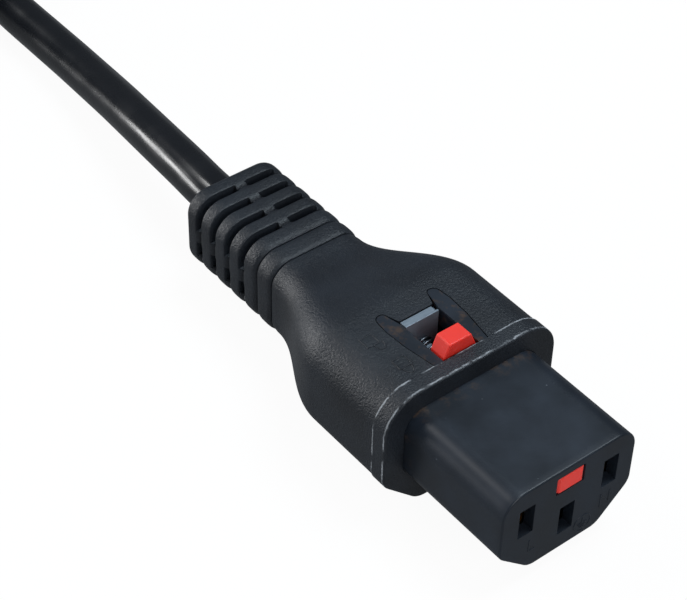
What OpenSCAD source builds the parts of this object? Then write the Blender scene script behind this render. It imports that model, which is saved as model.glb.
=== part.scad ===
/* Locking C13 appliance connector on a 1 m lead, with a C14 plug on the lead's far end.
   The connector lies flat: +X is the way it mates, +Z is up, and the origin is under its middle. */

/* [Nose] */
// Width of the nose that enters the inlet
nose_w = 22.1; // [21.9:0.1:22.4]
// Height of the nose
nose_h = 14.9; // [14.7:0.1:15.1]
// Length of the nose in front of the flange
nose_l = 18.5; // [17.5:0.5:19]
// Rounding of the nose's two top corners
nose_top_r = 3.3; // [2.5:0.1:3.6]
// How far along the bottom each lower corner is cut
nose_cut_y = 5.3; // [4.6:0.1:5.6]
// How far up the side each lower corner is cut
nose_cut_z = 5.0; // [4.6:0.1:5.4]
// Rounding where the cut corners meet the bottom and the sides
nose_cut_r = 2.6; // [1:0.2:3]

/* [Contacts] */
// Distance from the live slot's centre to the neutral slot's centre
contact_pitch = 14; // [13.9:0.1:14.1]
// Height of the live and neutral slots' centres above the nose's centre
line_z = 1.9; // [1.8:0.1:2]
// How far the earth slot's centre lies below the other two
earth_drop = 4; // [3.9:0.1:4.1]
// Width of each slot in the face
slot_w = 2.5; // [2.3:0.1:2.6]
// Height of each slot in the face
slot_h = 4.9; // [4.6:0.1:5]
// Thickness of the wall that the slots are cut in
face_wall = 1.7; // [1.4:0.1:1.9]

/* [Grip] */
// Width of the flange band behind the nose
flange_w = 28.5; // [28:0.1:29]
// Height of the flange band
flange_h = 20.1; // [19.8:0.1:20.6]
// Length of the flange band
flange_l = 2.5; // [2:0.1:3]
// How far the flange band stands proud of the grip all round
flange_step = 0.1; // [0.05:0.05:0.3]
// Rounding of the flange's and the grip's two top corners
grip_top_r = 5.5; // [4.5:0.1:6]
// Size of the cut lower corners of the flange and the grip
grip_cut = 6.1; // [5:0.1:6.5]
// How far behind the mating face the grip starts to narrow
shoulder_at = 33.5; // [32.8:0.1:34.5]
// How far behind the mating face the grip reaches its neck
neck_at = 50.3; // [50:0.1:50.6]
// Width of the neck
neck_w = 15.7; // [15.2:0.1:16]
// Height of the neck
neck_h = 13.6; // [13.2:0.1:14]

/* [Strain relief] */
// Length of the whole connector, from its mating face to the strain relief's end
overall_l = 71.2; // [71:0.1:71.6]
// Width of the strain relief at its end
relief_w = 15.3; // [15:0.1:15.8]
// Height of the strain relief at its end
relief_h = 12.6; // [12.2:0.1:13]
// Rounding of the strain relief's corners
relief_r = 3.5; // [3:0.1:4]
// Distance from rib to rib
rib_pitch = 3.36; // [3.3:0.02:3.38]
// Length of the last rib, at the cord's end
end_rib_l = 3.1; // [3:0.1:3.2]
// Depth of the groove between two ribs
rib_groove = 0.55; // [0.3:0.05:0.8]
// Width of the slots between the ribs
relief_slot_w = 1.3; // [1:0.1:1.5]

/* [Window and slider] */
// Width of the window in the top of the grip
window_w = 5.9; // [5.7:0.1:6.1]
// How far behind the mating face the window ends
window_end = 30; // [29.8:0.1:30.2]
// How far the release slider travels
slider_travel = 3; // [2:0.1:3.4]
// Length of the slider's finger tab
tab_l = 2.7; // [2.5:0.1:3]
// Width of the tab's top face
tab_top_w = 3.5; // [3:0.1:4]
// How far the tab stands above the grip
tab_rise = 1.9; // [1.5:0.1:2.2]

/* [Cord] */
// Diameter of the cord
cord_d = 6.8; // [6.6:0.1:6.8]
// Diameter of each insulated core inside the cord
core_d = 2.6; // [2.4:0.1:2.6]

/* [Hidden] */
$fn = 48;
eps = 0.05;          // overlap of a cut past the face it opens
gap = 0.1;           // clearance round a piece that slides or drops in
steel_t = 0.8;       // thickness of the lock plate

axis_z = flange_h / 2 - 0.4;      // the nose's centre sits this high above the surface
grip_lift = 0.4;                  // the flange's and the grip's centre above the nose's
relief_lift = 0.15;               // the strain relief's and the cord's centre above the nose's
front_x = overall_l / 2;
flange_back = nose_l + flange_l;
insert_l = 36;                    // the inner moulding ends this far behind the face
grip_w = flange_w - 2 * flange_step;
grip_h = flange_h - 2 * flange_step;
grip_top = grip_lift + grip_h / 2;
relief_start = overall_l - end_rib_l - 5 * rib_pitch;
sheath_start = 50;                // the cord's outer sheath ends this far behind the face
wide_grow = 0.036;                // the strain relief widens by this much per millimetre
tall_grow = 0.073;                // and gets taller by this much per millimetre
earth_z = line_z - earth_drop;
half_pitch = contact_pitch / 2;

// Slider channel and window shaft
channel_w = 4.7;
channel_low = 3.35;
channel_high = 6.3;
tab_front = flange_back + 0.3;
tab_back = tab_front + tab_l;
block_t = 1.3;                    // thickness of the stop bracket's upright
block_front = window_end - block_t;
spring_z = 5.6;
spring_r = 1.4;                   // radius of the spring's coils, to the wire's centre
wire_r = 0.22;
spring_seat = 1.6;                // depth of the spring's seat in the slider
spring_turns = 5;
// the bracket's guide meets the bottom of the seat when the slider has gone its whole travel
guide_l = block_front - tab_back + spring_seat - slider_travel - 0.05;

// Lock plate, leaning forward at rest
plate_x = 5.4;                    // its pivot lies this far behind the face
plate_z = -5.6;
plate_lean = 12;
plate_l = 10.1;
plate_w = 5.4;
tongue_w = 2.8;
pivot_r = 0.5;

// Contact carrier's section
carrier_w = 18.6;
carrier_top = 5.2;
carrier_low = -5.9;
carrier_low_w = 12.4;
carrier_cut_z = -3.2;             // the cut lower corners start at this height
block_in = 4.3;                   // inner side of each side block
saddle_z = 2.7;                   // top of the base between the blocks, under the slider

// Contacts
cavity_w = 3.7;
cavity_h = 6;
contact_w = 3.4;
contact_h = 5.6;
sheet_t = 0.45;
strip_w = 1.2;                    // width of the strip from the contact's box to its barrel
barrel_r = 1.55;
barrel_start = 20.5;
barrel_l = 6;
strand_r = 1.05;
core_from = barrel_start + barrel_l;
core_bend = 36.8;                 // the cores start to draw together this far behind the face
core_spread = 1.52;               // distance of each core's centre from the cord's centre

// Cord route from the strain relief, past the view, to the first straight run of the hank
lead_route = [
    [-35.6, 0, 9.8], [-41, 0, 9.8], [-47, 0.5, 9.5], [-55, 1.3, 8.7], [-63, 2.3, 7.6], [-71, 3.4, 6.3],
    [-79, 4.3, 5.1], [-87, 4.9, 4.3], [-95, 5.2, 3.8], [-104, 5.3, 3.6], [-114, 5.3, 3.8], [-125, 5.3, 4.2],
    [-138, 5.3, 4.2]];
// Cord route from the last straight run of the hank, down to the plug
tail_route = [
    [-208, 5.3, 24.6], [-214, 5.3, 24.6], [-220, 5.2, 24.5], [-227, 4.8, 23.8], [-234, 3.9, 22], [-241, 2.6, 19.2],
    [-248, 1.2, 16], [-255, -0.2, 13.1], [-262, -1.2, 11], [-269, -1.8, 10], [-274, -2, 9.8], [-278, -2, 9.8]];
hank_from = -138;                 // the hank's straight runs start here
hank_run = 70;                    // and are this long
hank_r = 3 * cord_d;              // radius of the folds, to the cord's centre
hank_low = 0.8;                   // the ties lie under the hank
hank_layers = 4;
hank_y = 5.3 - hank_r;            // middle of the hank, so that its first run goes on from the cord
tie_t = 0.8;
tie_w = 14;
plug_at = [-278 - overall_l / 2, -2, 0];
plug_rim = 17.6;                  // depth of the plug's recess
plug_recess_w = 22.8;
plug_recess_h = 15.6;
pin_w = 2;
pin_h = 4;
plug_barrel = 26;                 // a pin's barrel starts this far behind the plug's face
pin_back = 23;                    // and the flat part of the pin ends here

// ---- Outlines ----

function unit(v) = v / norm(v);

// Points of the arc that rounds corner b of the path a, b, c
function corner_arc(a, b, c, r, n) =
    let (u = unit(a - b), v = unit(c - b), half = acos(u * v) / 2,
         centre = b + unit(u + v) * r / sin(half),
         from = b + u * r / tan(half) - centre, to = b + v * r / tan(half) - centre,
         start = atan2(from[1], from[0]), turn = (atan2(to[1], to[0]) - start + 540) % 360 - 180)
    [for (i = [0:n]) centre + r * [cos(start + turn * i / n), sin(start + turn * i / n)]];

// A polygon with each corner rounded by its own radius, n steps to a corner
function rounded(points, radii, n) =
    let (m = len(points))
    [for (i = [0:m - 1]) each corner_arc(points[(i + m - 1) % m], points[i], points[(i + 1) % m], radii[i], n)];

// Section of the nose and the grip: two round top corners, two cut lower ones
function keyed(w, h, top_r, cut_y, cut_z, cut_r, n = 6) =
    rounded([[w / 2, cut_z - h / 2], [w / 2, h / 2], [-w / 2, h / 2], [-w / 2, cut_z - h / 2],
             [cut_y - w / 2, -h / 2], [w / 2 - cut_y, -h / 2]],
            [cut_r, top_r, top_r, cut_r, cut_r, cut_r], n);

function nose_section(grow = 0) =
    keyed(nose_w + grow, nose_h + grow, nose_top_r, nose_cut_y, nose_cut_z, nose_cut_r);

module along_x(from, to) {
    translate([from, 0, 0]) rotate([90, 0, 90]) linear_extrude(to - from) children();
}

module slab(x, y, z) {
    translate([x[0], y[0], z[0]]) cube([x[1] - x[0], y[1] - y[0], z[1] - z[0]]);
}

module at_axis() {
    translate([front_x, 0, axis_z]) children();
}

module at_plug() {
    translate([plug_at[0], plug_at[1], axis_z]) rotate([0, 0, 180]) translate([front_x, 0, 0]) children();
}

// ---- Skins and tubes ----

// A closed skin through rings of equally many points
module skin(rings) {
    n = len(rings[0]);
    m = len(rings);
    sides = [for (i = [0:m - 2], j = [0:n - 1])
        [i * n + j, (i + 1) * n + j, (i + 1) * n + (j + 1) % n, i * n + (j + 1) % n]];
    polyhedron(points = [for (r = rings) each r],
               faces = concat([[for (j = [0:n - 1]) j]], sides, [[for (j = [n - 1:-1:0]) (m - 1) * n + j]]));
}

function ring_at(x, lift, outline) = [for (p = outline) [x, p[0], p[1] + lift]];

// Direction of a route at point i, from its neighbours
function route_way(route, i) =
    unit(route[min(i + 1, len(route) - 1)] - route[max(i - 1, 0)]);

// A tube along a route that runs mostly along X, each ring square to the route
module tube(route, r, sides) {
    rings = [for (i = [0:len(route) - 1])
        let (way = route_way(route, i), across = unit(cross([0, 0, 1], way)), up = cross(way, across))
        [for (k = [0:sides - 1]) route[i] + r * (cos(360 * k / sides) * across + sin(360 * k / sides) * up)]];
    // reversed so that the faces point outwards whichever way the route runs
    skin(route[0][0] < route[len(route) - 1][0] ? rings : [for (i = [len(rings) - 1:-1:0])
        [for (k = [0:sides - 1]) rings[i][(sides + sides / 2 - k) % sides]]]);
}

// ---- Grip and strain relief ----

function ease(t) = t <= 0 ? 0 : t >= 1 ? 1 : t * t * (3 - 2 * t);

function mix(a, b, t) = a + (b - a) * t;

// The grip's section at x: the full section at the shoulder, drawn in to the neck
function grip_ring(x) =
    let (t = ease((x + neck_at) / (neck_at - shoulder_at)), small = relief_r * 0.586)
    ring_at(x, mix(relief_lift, grip_lift, t),
            keyed(mix(neck_w, grip_w, t), mix(neck_h, grip_h, t), mix(relief_r, grip_top_r, t),
                  mix(small, grip_cut, t), mix(small, grip_cut, t), mix(relief_r, 3.4, t), 4));

function flange_ring(x) =
    ring_at(x, grip_lift, keyed(flange_w, flange_h, grip_top_r, grip_cut, grip_cut, 3.4, 4));

// The strain relief's section at x, drawn in by inset all round
function relief_ring(x, inset) =
    let (d = x + overall_l, r = relief_r - inset, small = r * 0.586)
    ring_at(x, relief_lift, keyed(relief_w + wide_grow * d - 2 * inset, relief_h + tall_grow * d - 2 * inset,
                                  r, small, small, r, 4));

// Where rib k starts, counted from the cord's end
function rib_x(k) = -overall_l + (k == 0 ? 0 : end_rib_l + (k - 1) * rib_pitch);

// Each rib's crest is rounded: the inset falls away from the grooves at its two sides
rib_rings = [for (k = [0:5], u = [0, 0.08, 0.25, 0.5, 0.75, 0.92])
    relief_ring(mix(rib_x(k), rib_x(k + 1), u), rib_groove * pow(abs(2 * u - 1), 4))];

neck_rings = [for (i = [0:12]) grip_ring(mix(-neck_at, -shoulder_at, i / 12))];

// The whole outside, up to a front face at front
module grip_skin(front) {
    skin(concat(rib_rings, [relief_ring(-relief_start, rib_groove)], neck_rings,
                [grip_ring(-flange_back - flange_step), flange_ring(-flange_back), flange_ring(front)]));
}

// One row of slots: a long one round the upper left corner, a short one on the upper right, a small one low on
// the left, and the same three turned half round for the underside
module slot_row(x) {
    w = relief_w / 2 + 2;
    for (turn = [0, 180]) translate([x, 0, relief_lift]) rotate([turn, 0, 0]) {
        slab([-relief_slot_w / 2, relief_slot_w / 2], [-w, -1], [1.4, w]);
        slab([-relief_slot_w / 2, relief_slot_w / 2], [0.9, 5.7], [0, w]);
        slab([-relief_slot_w / 2, relief_slot_w / 2], [-w, 0], [-2.8, -0.7]);
    }
}

module relief_slots() {
    for (k = [1:4]) slot_row(rib_x(k));
}

// Bore for the cord, and the room where its cores spread to the contacts
module cord_space() {
    along_x(-overall_l - eps, -sheath_start) translate([0, relief_lift]) circle(d = cord_d);
    hull() {
        along_x(-sheath_start - 0.01, -sheath_start + 0.2) translate([0, relief_lift]) circle(r = 3.4, $fn = 32);
        along_x(-insert_l - 0.1, -insert_l) translate([-9.4, -4.4]) square([18.8, 8.6]);
    }
}

// ---- Connector ----

// Plan of one of the two rails that show beside the window
module rail_plan() {
    inner = window_w / 2;
    polygon(rounded([[-flange_back, inner], [-flange_back, inner + 1.4], [-26.1, inner + 2.2],
                     [-29.7, inner + 2.4], [-32.4, inner + 2.1], [-32.4, inner + 0.7], [-29.2, inner]],
                    [0.05, 0.05, 4, 4, 0.9, 0.6, 4], 5));
}

module rails() {
    for (side = [0, 1]) mirror([0, side, 0])
        translate([0, 0, nose_h / 2 - 1]) linear_extrude(grip_top - nose_h / 2 + 1) rail_plan();
}

module outer_shell() color("#2b2e33") at_axis() difference() {
    grip_skin(-nose_l);
    along_x(-insert_l, -nose_l + eps) polygon(nose_section());
    rails();
    slab([-window_end, -flange_back], [-window_w / 2, window_w / 2], [0, grip_top + 1]);
    cord_space();
    relief_slots();
}

// Section of the room for the contact carrier, drawn in by g: a broad base with a block up each side
module carrier_section(g) {
    half = [[carrier_w / 2 - g, carrier_cut_z + g], [carrier_w / 2 - g, carrier_top - g],
            [block_in + g, carrier_top - g], [block_in + g, saddle_z - g]];
    low = [carrier_low_w / 2 - g, carrier_low + g];
    polygon(concat([low], half, [for (i = [3:-1:0]) [-half[i][0], half[i][1]]], [[-low[0], low[1]]]));
}

module contact_hole(y, z, from, w, h) {
    slab([-20, from], [y - w / 2, y + w / 2], [z - h / 2, z + h / 2]);
}

// The nose and the inner moulding behind it, one piece
module nose_insert() color("#33373d") at_axis() difference() {
    union() {
        along_x(-insert_l, 0) polygon(nose_section());
        rails();
    }
    for (side = [-1, 1]) {
        contact_hole(side * half_pitch, line_z, 1, slot_w, slot_h);
        contact_hole(side * half_pitch, line_z, -face_wall, cavity_w, cavity_h);
    }
    contact_hole(0, earth_z, 1, slot_w, slot_h);
    contact_hole(0, earth_z, -face_wall - 0.3, cavity_w, cavity_h);
    // room for the lock plate to swing, and the groove that its lower edge turns in
    slab([-7.1, -2], [-plate_w / 2 - 0.15, plate_w / 2 + 0.15], [plate_z, channel_low + eps]);
    translate([-plate_x, 0, plate_z]) rotate([90, 0, 0]) cylinder(r = pivot_r + 0.05, h = plate_w + 0.3, center = true);
    // slider channel, window shaft and the slot for the stop bracket's foot
    slab([-22, 1], [-channel_w / 2, channel_w / 2], [channel_low, channel_high]);
    slab([-window_end, -flange_back], [-window_w / 2, window_w / 2], [channel_low, grip_top + 1]);
    slab([-insert_l - 1, -window_end + eps], [-2.8, 2.8], [channel_low, channel_low + 1.1]);
    along_x(-insert_l - 1, -19) carrier_section(0);
}

// Rear part of the inner moulding, which holds the contacts' barrels
module contact_carrier() color("#3a3e44") at_axis() difference() {
    along_x(-insert_l, -19.2) carrier_section(gap);
    for (p = [[-half_pitch, line_z], [half_pitch, line_z], [0, earth_z]])
        along_x(-insert_l - 1, -19) translate(p) circle(r = barrel_r + gap);
}

// Red slider: a bar down the nose with a finger tab in the window
module release_slider() color("#e8463c") at_axis() {
    half = channel_w / 2 - gap;
    foot = window_w / 2 - 0.25;
    top = grip_top + tab_rise;
    difference() {
        union() {
            // the bar's end is bevelled where it shows in the mating face
            intersection() {
                slab([-tab_front - 0.5, 0], [-half, half], [channel_low + gap, channel_high - gap]);
                translate([0, 0, -1]) linear_extrude(10)
                    polygon([[-tab_front - 1, -half], [-0.5, -half], [0, 0.5 - half], [0, half - 0.3],
                             [-0.3, half], [-tab_front - 1, half]]);
            }
            along_x(-tab_back, -tab_front) polygon(rounded(
                [[foot, channel_low + gap], [foot, grip_top - 0.4], [tab_top_w / 2, top],
                 [-tab_top_w / 2, top], [-foot, grip_top - 0.4], [-foot, channel_low + gap]],
                [0.2, 0.6, 0.35, 0.35, 0.6, 0.2], 4));
        }
        // seat of the spring
        along_x(-tab_back - eps, -tab_back + spring_seat) translate([0, spring_z]) circle(r = spring_r + wire_r + 0.12);
        // notch over the lock plate's tongue
        slab([-4.6, -2.5], [-tongue_w / 2 - 0.15, tongue_w / 2 + 0.15], [channel_low, 4.75]);
    }
}

// Folded steel bracket: its upright ends the slider's travel and carries the spring
module stop_bracket() color("#6d7a85") at_axis() {
    half = window_w / 2 - 0.2;
    difference() {
        slab([-window_end + gap, -block_front], [-half, half], [channel_low + gap, grip_top - 0.1]);
        // bevelled upper corner
        translate([-window_end - 1, half, grip_top - 0.1]) rotate([45, 0, 0]) cube([4, 0.6, 0.6], center = true);
    }
    slab([-insert_l + 0.5, -window_end + gap + eps], [-half + gap, half - gap], [channel_low + gap, channel_low + 0.9]);
    along_x(-block_front - eps, guide_l - block_front) translate([0, spring_z]) circle(r = spring_r - wire_r - 0.12);
}

// Compression spring between the slider's tab and the bracket
module slider_spring() color("#b9bec4") at_axis() {
    from = -block_front + wire_r + 0.03;
    to = -tab_back + spring_seat - wire_r - 0.03;
    steps = 12;
    count = spring_turns * steps;
    rings = [for (i = [0:count])
        let (a = 360 * i / steps, x = mix(from, to, i / count))
        [for (k = [0:5]) let (b = 60 * k)
            [x + wire_r * sin(b), (spring_r + wire_r * cos(b)) * cos(a),
             spring_z + (spring_r + wire_r * cos(b)) * sin(a)]]];
    skin(rings);
}

// Steel plate that leans on the earth pin and jams when the connector is pulled
module lock_plate() color("#9aa0a6") at_axis()
    translate([-plate_x, 0, plate_z]) rotate([0, plate_lean, 0]) difference() {
        union() {
            slab([-steel_t / 2, steel_t / 2], [-plate_w / 2, plate_w / 2], [0, plate_l - 2]);
            slab([-steel_t / 2, steel_t / 2], [-tongue_w / 2, tongue_w / 2], [0, plate_l]);
            rotate([90, 0, 0]) cylinder(r = pivot_r, h = plate_w, center = true);
        }
        slab([-2, 2], [-pin_w / 2 - 0.15, pin_w / 2 + 0.15],
             [earth_z - plate_z - pin_h / 2 - 0.2, earth_z - plate_z + pin_h / 2 + 0.2]);
    }

// Folded contact: a box that grips the pin, a strip and a barrel for the stripped core
module contact(y, z, mouth) {
    inner_w = contact_w - 2 * sheet_t;
    inner_h = contact_h - 2 * sheet_t;
    difference() {
        slab([-16, -mouth], [y - contact_w / 2, y + contact_w / 2], [z - contact_h / 2, z + contact_h / 2]);
        slab([-17, 0], [y - inner_w / 2, y + inner_w / 2], [z - inner_h / 2, z + inner_h / 2]);
        // lance windows in the two side walls
        slab([-14, -mouth - 2.5], [y - 3, y + 3], [z - 1, z + 1]);
    }
    // the two lances lean inwards to the pin's width
    for (side = [0, 1]) translate([0, y, 0]) mirror([0, side, 0])
        translate([0, 0, z - 0.8]) linear_extrude(1.6)
            polygon([[-14, contact_w / 2], [-14, contact_w / 2 - sheet_t], [-mouth - 4, 0.95],
                     [-mouth - 2.6, 1.3], [-mouth - 2.6, 1.7], [-mouth - 4.2, 0.95 + sheet_t]]);
    slab([-barrel_start - 1, -16 + eps], [y - strip_w / 2, y + strip_w / 2], [z - 1.5, z - 1.5 + sheet_t]);
    slab([-16.4, -15.6], [y - strip_w / 2, y + strip_w / 2], [z - contact_h / 2, z - 1.5 + sheet_t]);
    difference() {
        along_x(-barrel_start - barrel_l, -barrel_start) translate([y, z]) circle(r = barrel_r);
        along_x(-barrel_start - barrel_l - 1, -barrel_start + 1) translate([y, z]) circle(r = barrel_r - sheet_t);
    }
}

module live_contact() color("#c9a24b") at_axis() contact(-half_pitch, line_z, face_wall + 0.4);
module neutral_contact() color("#c9a24b") at_axis() contact(half_pitch, line_z, face_wall + 0.4);
module earth_contact() color("#c9a24b") at_axis() contact(0, earth_z, 7.4);

// Stripped copper end of a core, in its barrel
module strands(y, z, start) {
    along_x(-start - barrel_l, -start) translate([y, z]) circle(r = strand_r);
}

module live_strands() color("#b8703a") at_axis() strands(-half_pitch, line_z, barrel_start);
module neutral_strands() color("#b8703a") at_axis() strands(half_pitch, line_z, barrel_start);
module earth_strands() color("#b8703a") at_axis() strands(0, earth_z, barrel_start);

// An insulated core from behind its barrel to the end of the cord's sheath; turn is its place in the cord
module core(y, z, start, turn) {
    home = [core_spread * cos(turn), relief_lift + core_spread * sin(turn)];
    bend = 0.6 - sheath_start;        // they run straight for a little before they spread
    xs = concat([-sheath_start], [for (i = [0:9]) mix(bend, -core_bend, i / 9)], [-start]);
    tube([for (x = xs) let (t = ease((x - bend) / (-core_bend - bend)))
            [x, mix(home[0], y, t), mix(home[1], z, t)]], core_d / 2, 10);
}

module live_core() color("#6b4226") at_axis() core(-half_pitch, line_z, core_from, 150);
module neutral_core() color("#2f62a8") at_axis() core(half_pitch, line_z, core_from, 30);
module earth_core() color("#7aa23a") at_axis() core(0, earth_z, core_from, 270);

module sheath_end() {
    along_x(-overall_l, -sheath_start) translate([0, relief_lift]) circle(d = cord_d);
}

module cord_sheath() color("#17181b") at_axis() sheath_end();

// ---- Free cord ----

module cord_lead() color("#17181b") tube(lead_route, cord_d / 2, 10);
module cord_tail() color("#17181b") tube(tail_route, cord_d / 2, 10);

// Half ring of the cord's folds at one end of the hank, from z to z
module fold(x, turn, from, to) {
    translate([x, hank_y, from]) rotate([0, 0, turn]) linear_extrude(to - from) intersection() {
        difference() {
            circle(r = hank_r + cord_d / 2);
            circle(r = hank_r - cord_d / 2);
        }
        translate([0, -2 * hank_r]) square(4 * hank_r);
    }
}

// Outer shape of the folded cord: four runs on one side, three that climb a layer each on the other
module cord_hank() color("#17181b") {
    top = hank_low + hank_layers * cord_d;
    back = hank_from - hank_run;
    slab([back, hank_from], [hank_y + hank_r - cord_d / 2, hank_y + hank_r + cord_d / 2], [hank_low, top]);
    translate([0, hank_y - hank_r + cord_d / 2, 0]) rotate([90, 0, 0]) linear_extrude(cord_d)
        polygon([[back, hank_low], [hank_from, hank_low + cord_d], [hank_from, top], [back, top - cord_d]]);
    fold(hank_from, 0, hank_low + cord_d, top);
    fold(back, 180, hank_low, top - cord_d);
}

// A strap round one side of the hank, h high inside and turned by climb degrees
module strap(side, h, climb) {
    translate([hank_from - hank_run / 2, hank_y + side * hank_r, hank_low + hank_layers * cord_d / 2])
        rotate([0, -climb, 0]) along_x(-tie_w / 2, tie_w / 2) difference() {
            square([cord_d + 2 * tie_t, h + 2 * tie_t], center = true);
            square([cord_d, h], center = true);
        }
}

module run_strap() color("#3c3f44") strap(1, hank_layers * cord_d, 0);

module climb_strap() color("#3c3f44") {
    climb = atan(cord_d / hank_run);
    strap(-1, (hank_layers - 1) * cord_d * cos(climb), climb);
}

// ---- Plug on the far end ----

module plug_shell() color("#2b2e33") at_plug() difference() {
    grip_skin(0);
    along_x(-insert_l, eps) polygon(keyed(plug_recess_w, plug_recess_h, nose_top_r, nose_cut_y, nose_cut_z, nose_cut_r));
    cord_space();
    relief_slots();
}

module plug_insert() color("#33373d") at_plug() difference() {
    along_x(-insert_l, -plug_rim) polygon(keyed(plug_recess_w, plug_recess_h, nose_top_r, nose_cut_y, nose_cut_z,
                                                nose_cut_r));
    for (p = [[-half_pitch, line_z], [half_pitch, line_z], [0, earth_z]]) translate([0, p[0], p[1]]) {
        slab([-pin_back, 0], [-pin_w / 2, pin_w / 2], [-pin_h / 2, pin_h / 2]);
        along_x(-insert_l - 1, eps - pin_back) circle(r = barrel_r + gap);
    }
}

// A flat pin with bevelled tip and a barrel at its back
module pin(y, z, tip) translate([0, y, z]) {
    intersection() {
        slab([-pin_back, -tip], [-pin_w / 2, pin_w / 2], [-pin_h / 2, pin_h / 2]);
        translate([0, 0, -5]) linear_extrude(10) polygon([[-24, -pin_w / 2], [-tip - 1.2, -pin_w / 2],
            [-tip, -pin_w / 2 + 0.6], [-tip, pin_w / 2 - 0.6], [-tip - 1.2, pin_w / 2], [-24, pin_w / 2]]);
        rotate([90, 0, 0]) linear_extrude(10, center = true) polygon([[-24, -pin_h / 2], [-tip - 1.2, -pin_h / 2],
            [-tip, -pin_h / 2 + 0.8], [-tip, pin_h / 2 - 0.8], [-tip - 1.2, pin_h / 2], [-24, pin_h / 2]]);
    }
    difference() {
        along_x(-plug_barrel - barrel_l, -pin_back) circle(r = barrel_r);
        along_x(-plug_barrel - barrel_l - 1, -plug_barrel) circle(r = barrel_r - sheet_t);
    }
}

module plug_live_pin() color("#c8c2b0") at_plug() pin(half_pitch, line_z, 3.5);
module plug_neutral_pin() color("#c8c2b0") at_plug() pin(-half_pitch, line_z, 3.5);
module plug_earth_pin() color("#c8c2b0") at_plug() pin(0, earth_z, 1.5);
module plug_live_strands() color("#b8703a") at_plug() strands(half_pitch, line_z, plug_barrel);
module plug_neutral_strands() color("#b8703a") at_plug() strands(-half_pitch, line_z, plug_barrel);
module plug_earth_strands() color("#b8703a") at_plug() strands(0, earth_z, plug_barrel);
module plug_live_core() color("#6b4226") at_plug() core(half_pitch, line_z, plug_barrel + barrel_l, 30);
module plug_neutral_core() color("#2f62a8") at_plug() core(-half_pitch, line_z, plug_barrel + barrel_l, 150);
module plug_earth_core() color("#7aa23a") at_plug() core(0, earth_z, plug_barrel + barrel_l, 270);
module plug_sheath() color("#17181b") at_plug() sheath_end();

outer_shell();
nose_insert();
contact_carrier();
release_slider();
stop_bracket();
slider_spring();
lock_plate();
live_contact();
neutral_contact();
earth_contact();
live_strands();
neutral_strands();
earth_strands();
live_core();
neutral_core();
earth_core();
cord_sheath();
cord_lead();
cord_hank();
run_strap();
climb_strap();
cord_tail();
plug_shell();
plug_insert();
plug_live_pin();
plug_neutral_pin();
plug_earth_pin();
plug_live_strands();
plug_neutral_strands();
plug_earth_strands();
plug_live_core();
plug_neutral_core();
plug_earth_core();
plug_sheath();
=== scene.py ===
"""Locking C13 appliance connector on a moulded lead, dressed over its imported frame.

Lengths are in millimetres unless a name says otherwise. Each moulded end is worked out in its own
axes, with x = 0 in its mating face and x negative behind it, and a Datum carries it into the frame.
"""

import logging
import math
from dataclasses import dataclass, field
from enum import Enum
from functools import partial
from typing import Any, Callable, Sequence

import bpy
import numpy as np
from mathutils import Matrix, Vector


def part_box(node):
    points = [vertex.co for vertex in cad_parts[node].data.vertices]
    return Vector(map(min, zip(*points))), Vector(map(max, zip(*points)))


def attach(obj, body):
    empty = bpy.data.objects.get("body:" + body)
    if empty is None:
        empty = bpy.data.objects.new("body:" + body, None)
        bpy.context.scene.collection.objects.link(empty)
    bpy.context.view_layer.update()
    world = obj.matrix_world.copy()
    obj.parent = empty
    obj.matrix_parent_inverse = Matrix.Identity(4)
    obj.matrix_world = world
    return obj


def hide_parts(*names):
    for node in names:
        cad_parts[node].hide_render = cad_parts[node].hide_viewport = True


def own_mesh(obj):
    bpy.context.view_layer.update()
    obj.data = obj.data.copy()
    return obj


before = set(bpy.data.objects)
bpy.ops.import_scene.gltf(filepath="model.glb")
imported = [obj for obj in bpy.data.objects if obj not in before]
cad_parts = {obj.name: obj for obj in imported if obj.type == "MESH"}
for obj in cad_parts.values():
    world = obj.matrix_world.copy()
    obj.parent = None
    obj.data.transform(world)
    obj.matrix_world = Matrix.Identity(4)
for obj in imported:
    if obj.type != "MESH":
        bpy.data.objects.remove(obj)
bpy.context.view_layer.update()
log = logging.getLogger("connector")

MM = 0.001
NOSE_W, NOSE_H, NOSE_L = 22.1, 14.9, 18.5
FLANGE_L = 2.5

Piece = bpy.types.Object
Tree = bpy.types.NodeTree
Socket = bpy.types.NodeSocket
Sockets = dict[str, Any]
AddNode = Callable[..., Socket]
Points = np.ndarray               # an array: points in its last axis, or one number for each point


# ---- Points and outlines -------------------------------------------------------------------------


def smooth(t: Points) -> Points:
    """Goes from 0 to 1 with level ends: 3t^2 - 2t^3, and holds its end value outside."""
    t = np.clip(t, 0.0, 1.0)
    return t * t * (3.0 - 2.0 * t)


def mix(a: Any, b: Any, t: Any) -> Any:
    """The value that lies the share t of the way from a to b."""
    return a + (b - a) * t


def unit(v: Points) -> Points:
    """Each vector along the last axis, at length one."""
    return v / np.linalg.norm(v, axis=-1, keepdims=True)


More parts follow.
